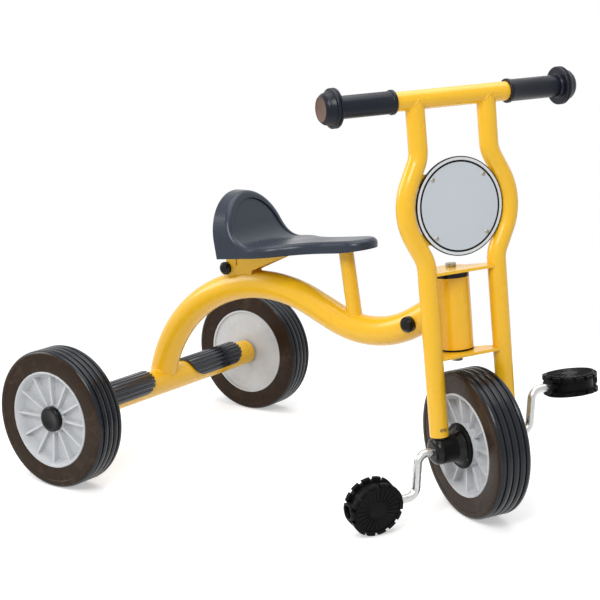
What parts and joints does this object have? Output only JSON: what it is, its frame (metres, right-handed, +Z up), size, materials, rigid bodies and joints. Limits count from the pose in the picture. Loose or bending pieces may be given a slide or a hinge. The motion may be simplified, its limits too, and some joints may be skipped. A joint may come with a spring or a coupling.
{
  "type": "children's pedal tricycle",
  "caption": "Children's pedal tricycle: arched tube frame, moulded seat, raked fork with a round number plate, crank and round pedals on the front wheel, step pads over the rear axle.",
  "frame": {"origin": "on the floor under the middle of the whole machine's box", "axes": "+X forward along the frame, +Y to the rider's left, +Z up; the fork is turned about 30 degrees to the rider's right at rest"},
  "size_m": [0.7635, 0.5054, 0.5873],
  "materials": {
    "frame_paint": "gloss yellow powder coat",
    "bright_steel": "bright zinc-plated steel",
    "tyre": "solid black rubber",
    "rim_plastic": "moulded light grey plastic",
    "black_plastic": "moulded black plastic",
    "black_rubber": "moulded black rubber",
    "seat_plastic": "grained dark blue-grey plastic",
    "plate_plastic": "satin light blue-grey plastic"
  },
  "bodies": {
    "frame": {"main_tube": "frame_paint", "axle_tube": "frame_paint", "axle_plug_right": "black_plastic", "axle_plug_left": "black_plastic", "rear_axle": "bright_steel", "hub_cap_right": "black_plastic", "hub_cap_left": "black_plastic", "head_tube": "frame_paint", "head_bush_upper": "black_plastic", "head_bush_lower": "black_plastic", "seat_post": "frame_paint", "seat_bracket": "frame_paint", "bracket_bolt": "bright_steel", "bracket_caps": "black_plastic", "seat": "seat_plastic", "step_pad_right": "black_rubber", "step_pad_left": "black_rubber", "frame_bolt": "bright_steel", "frame_bolt_caps": "black_plastic"},
    "steering": {"fork_leg_right": "frame_paint", "fork_leg_left": "frame_paint", "handlebar": "frame_paint", "grip_right": "black_rubber", "grip_left": "black_rubber", "cross_plate_lower": "frame_paint", "cross_plate_upper": "frame_paint", "king_pin": "bright_steel", "number_plate": "plate_plastic", "plate_lugs": "frame_paint", "bearing_right": "black_plastic", "bearing_left": "black_plastic"},
    "front_wheel": {"front_tyre": "tyre", "front_rim": "rim_plastic", "hub_flange_right": "black_plastic", "hub_flange_left": "black_plastic", "crank": "bright_steel", "pedal_washer_right": "bright_steel", "pedal_washer_left": "bright_steel"},
    "right_pedal": {"pedal_right": "black_plastic"},
    "left_pedal": {"pedal_left": "black_plastic"},
    "rear_wheel_right": {"rear_tyre_right": "tyre", "rear_rim_right": "rim_plastic"},
    "rear_wheel_left": {"rear_tyre_left": "tyre", "rear_rim_left": "rim_plastic"}
  },
  "joints": [
    {"name": "steering", "type": "hinge", "parent": "frame", "child": "steering", "pos_m": [0.24612, 0, 0.09838], "axis": [-0.0924, 0, 0.9957], "range_deg": [-15.3, 74.7]},
    {"name": "front_wheel_spin", "type": "hinge", "parent": "steering", "child": "front_wheel", "pos_m": [0.27121, -0.01437, 0.10071], "axis": [0.4933, 0.8686, 0.0458], "continuous": true},
    {"name": "right_pedal_spin", "type": "hinge", "parent": "front_wheel", "child": "right_pedal", "pos_m": [0.19874, -0.15074, 0.03975], "axis": [0.4933, 0.8686, 0.0458], "continuous": true},
    {"name": "left_pedal_spin", "type": "hinge", "parent": "front_wheel", "child": "left_pedal", "pos_m": [0.34367, 0.12201, 0.16166], "axis": [0.4933, 0.8686, 0.0458], "continuous": true},
    {"name": "right_wheel_spin", "type": "hinge", "parent": "frame", "child": "rear_wheel_right", "pos_m": [-0.2816, -0.2289, 0.1], "axis": [0, 1, 0], "continuous": true},
    {"name": "left_wheel_spin", "type": "hinge", "parent": "frame", "child": "rear_wheel_left", "pos_m": [-0.2816, 0.2289, 0.1], "axis": [0, 1, 0], "continuous": true}
  ]
}
